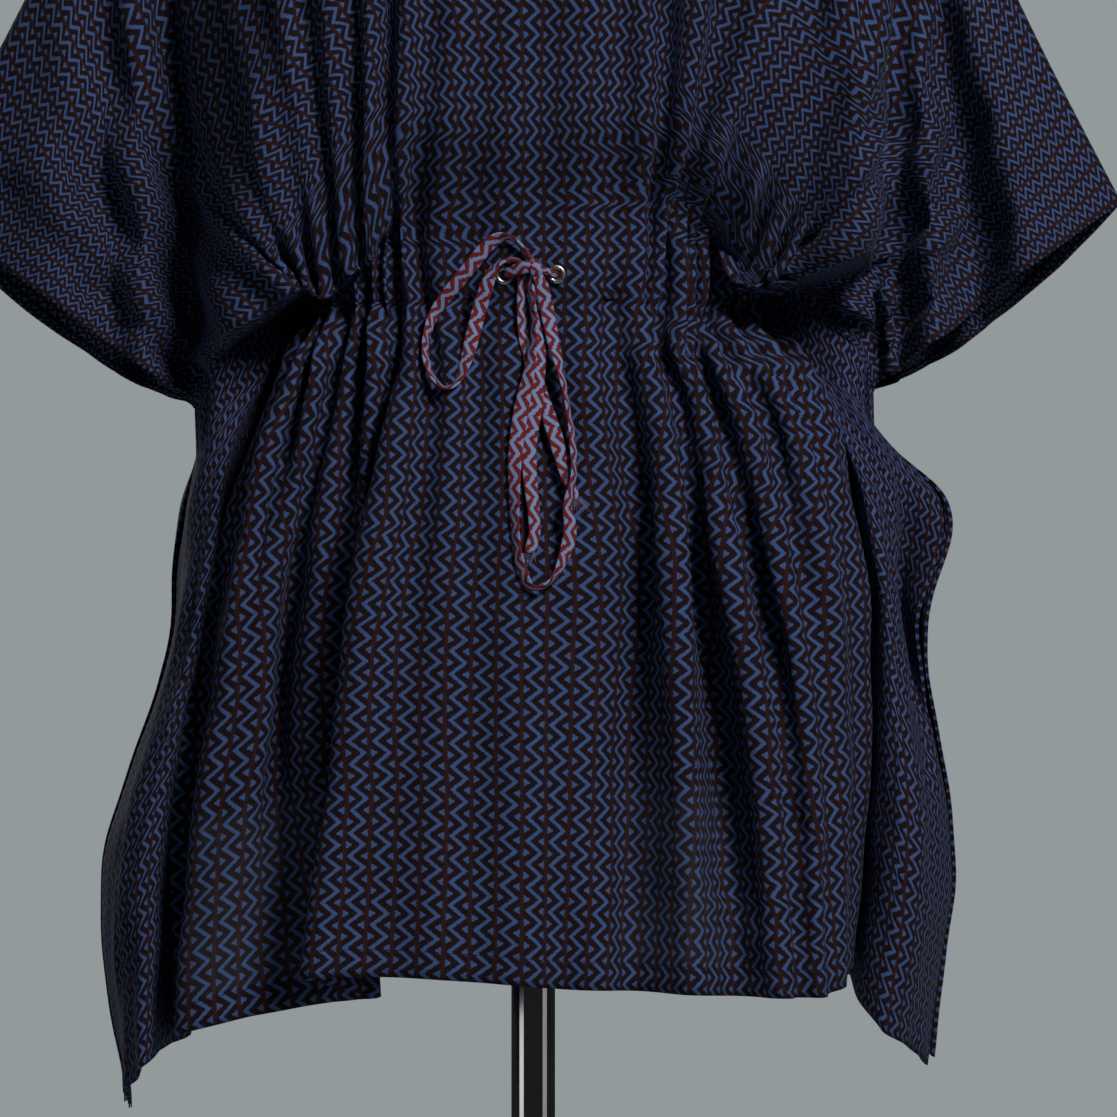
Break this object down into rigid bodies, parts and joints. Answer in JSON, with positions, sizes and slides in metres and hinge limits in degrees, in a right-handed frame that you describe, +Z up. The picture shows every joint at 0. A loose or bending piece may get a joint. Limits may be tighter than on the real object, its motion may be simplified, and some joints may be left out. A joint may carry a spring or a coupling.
{
  "type": "short kaftan on a dress form",
  "caption": "Short printed-cotton kaftan with wide open sleeves, drawstring waist and pointed side hems, worn by a limbless dress form on a pole stand",
  "frame": {"origin": "centre of the underside of the stand's round foot, on the floor", "axes": "+Z up along the pole; -Y is the garment's front, towards the viewer; +X is the viewer's right, the wearer's left"},
  "size_m": [0.7065, 0.38, 1.52],
  "materials": {
    "front_cotton": "matt woven cotton with a printed zigzag",
    "back_cotton": "matt woven cotton with a printed zigzag",
    "casing_cotton": "matt woven cotton",
    "drawstring_cotton": "matt woven cotton, brick red and pale blue",
    "nickel": "bright nickel plate",
    "form_cover": "pale matt jersey",
    "neck_cap": "satin",
    "chromed_steel": "polished chrome",
    "brushed_steel": "brushed"
  },
  "bodies": {
    "root": {"kaftan_front": "front_cotton", "kaftan_back": "back_cotton", "waist_casing": "casing_cotton", "drawstring_knot": "drawstring_cotton", "drawstring_loop_left": "drawstring_cotton", "drawstring_loop_right": "drawstring_cotton", "drawstring_tail_left": "drawstring_cotton", "drawstring_tail_right": "drawstring_cotton", "drawstring_stub_left": "drawstring_cotton", "drawstring_stub_right": "drawstring_cotton", "eyelet_left": "nickel", "eyelet_right": "nickel", "form_torso": "form_cover", "form_neck_cap": "neck_cap", "stand_pole": "chromed_steel", "stand_collar": "chromed_steel", "stand_base": "brushed_steel"}
  },
  "joints": []
}
